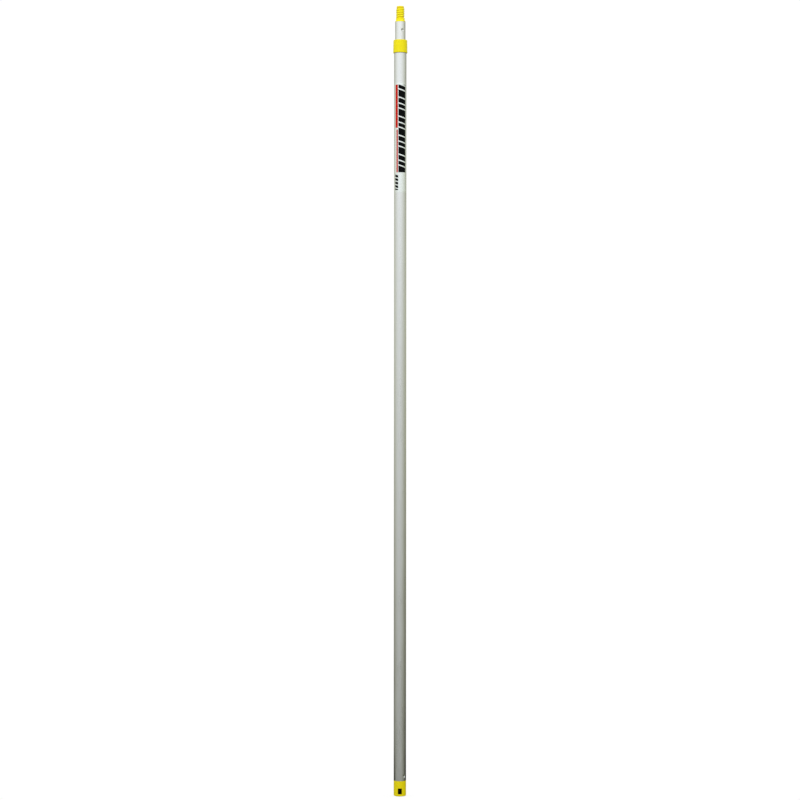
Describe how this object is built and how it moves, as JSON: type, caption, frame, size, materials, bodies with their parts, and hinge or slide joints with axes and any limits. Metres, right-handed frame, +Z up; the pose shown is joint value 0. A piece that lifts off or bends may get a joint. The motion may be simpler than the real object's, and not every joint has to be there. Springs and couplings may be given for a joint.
{
  "type": "telescoping extension pole",
  "caption": "Telescoping extension pole with an internal twist lock, a threaded tip for screw-on tool heads, a domed collar and a butt cap with a hang window.",
  "frame": {"origin": "centre of the butt cap's flat bottom face", "axes": "+Z up the pole towards the threaded tip; -Y is the front, where the hang window and the label face; +X to the right seen from the front"},
  "size_m": [0.0328, 0.0328, 1.829],
  "materials": {
    "satin_aluminium": "satin mill finish, fine lines along the tube",
    "yellow_plastic": "moulded, low sheen",
    "printed_film": "clear film over a pale ground with plain printed bars",
    "natural_nylon": "moulded, off-white",
    "grey_plastic": "moulded, dark grey",
    "plated_steel": "bright zinc plate"
  },
  "bodies": {
    "outer": {"outer_tube": "satin_aluminium", "collar": "yellow_plastic", "upper_guide_sleeve": "natural_nylon", "butt_cap": "yellow_plastic", "label_film": "printed_film"},
    "glide": {"lower_guide_sleeve": "natural_nylon"},
    "inner_pole": {"inner_tube": "satin_aluminium", "threaded_tip": "yellow_plastic", "cam_plug": "grey_plastic", "cam_screw": "plated_steel", "cam_washer": "plated_steel"},
    "lock_ring": {"cam_ring": "natural_nylon"}
  },
  "joints": [
    {"name": "telescope", "type": "slide", "parent": "outer", "child": "glide", "axis": [0, 0, 1], "range_m": [0, 1.49]},
    {"name": "twist_lock", "type": "hinge", "parent": "glide", "child": "inner_pole", "pos_m": [0, 0, 0.112], "axis": [0, 0, 1], "range_deg": [-34, 0]},
    {"name": "cam_ring_turn", "type": "hinge", "parent": "inner_pole", "child": "lock_ring", "pos_m": [0.0014, 0, 0.10035], "axis": [0, 0, 1], "range_deg": [0, 34]}
  ],
  "couplings": [
    {"joint": "cam_ring_turn", "follows": "twist_lock", "ratio": -1}
  ]
}
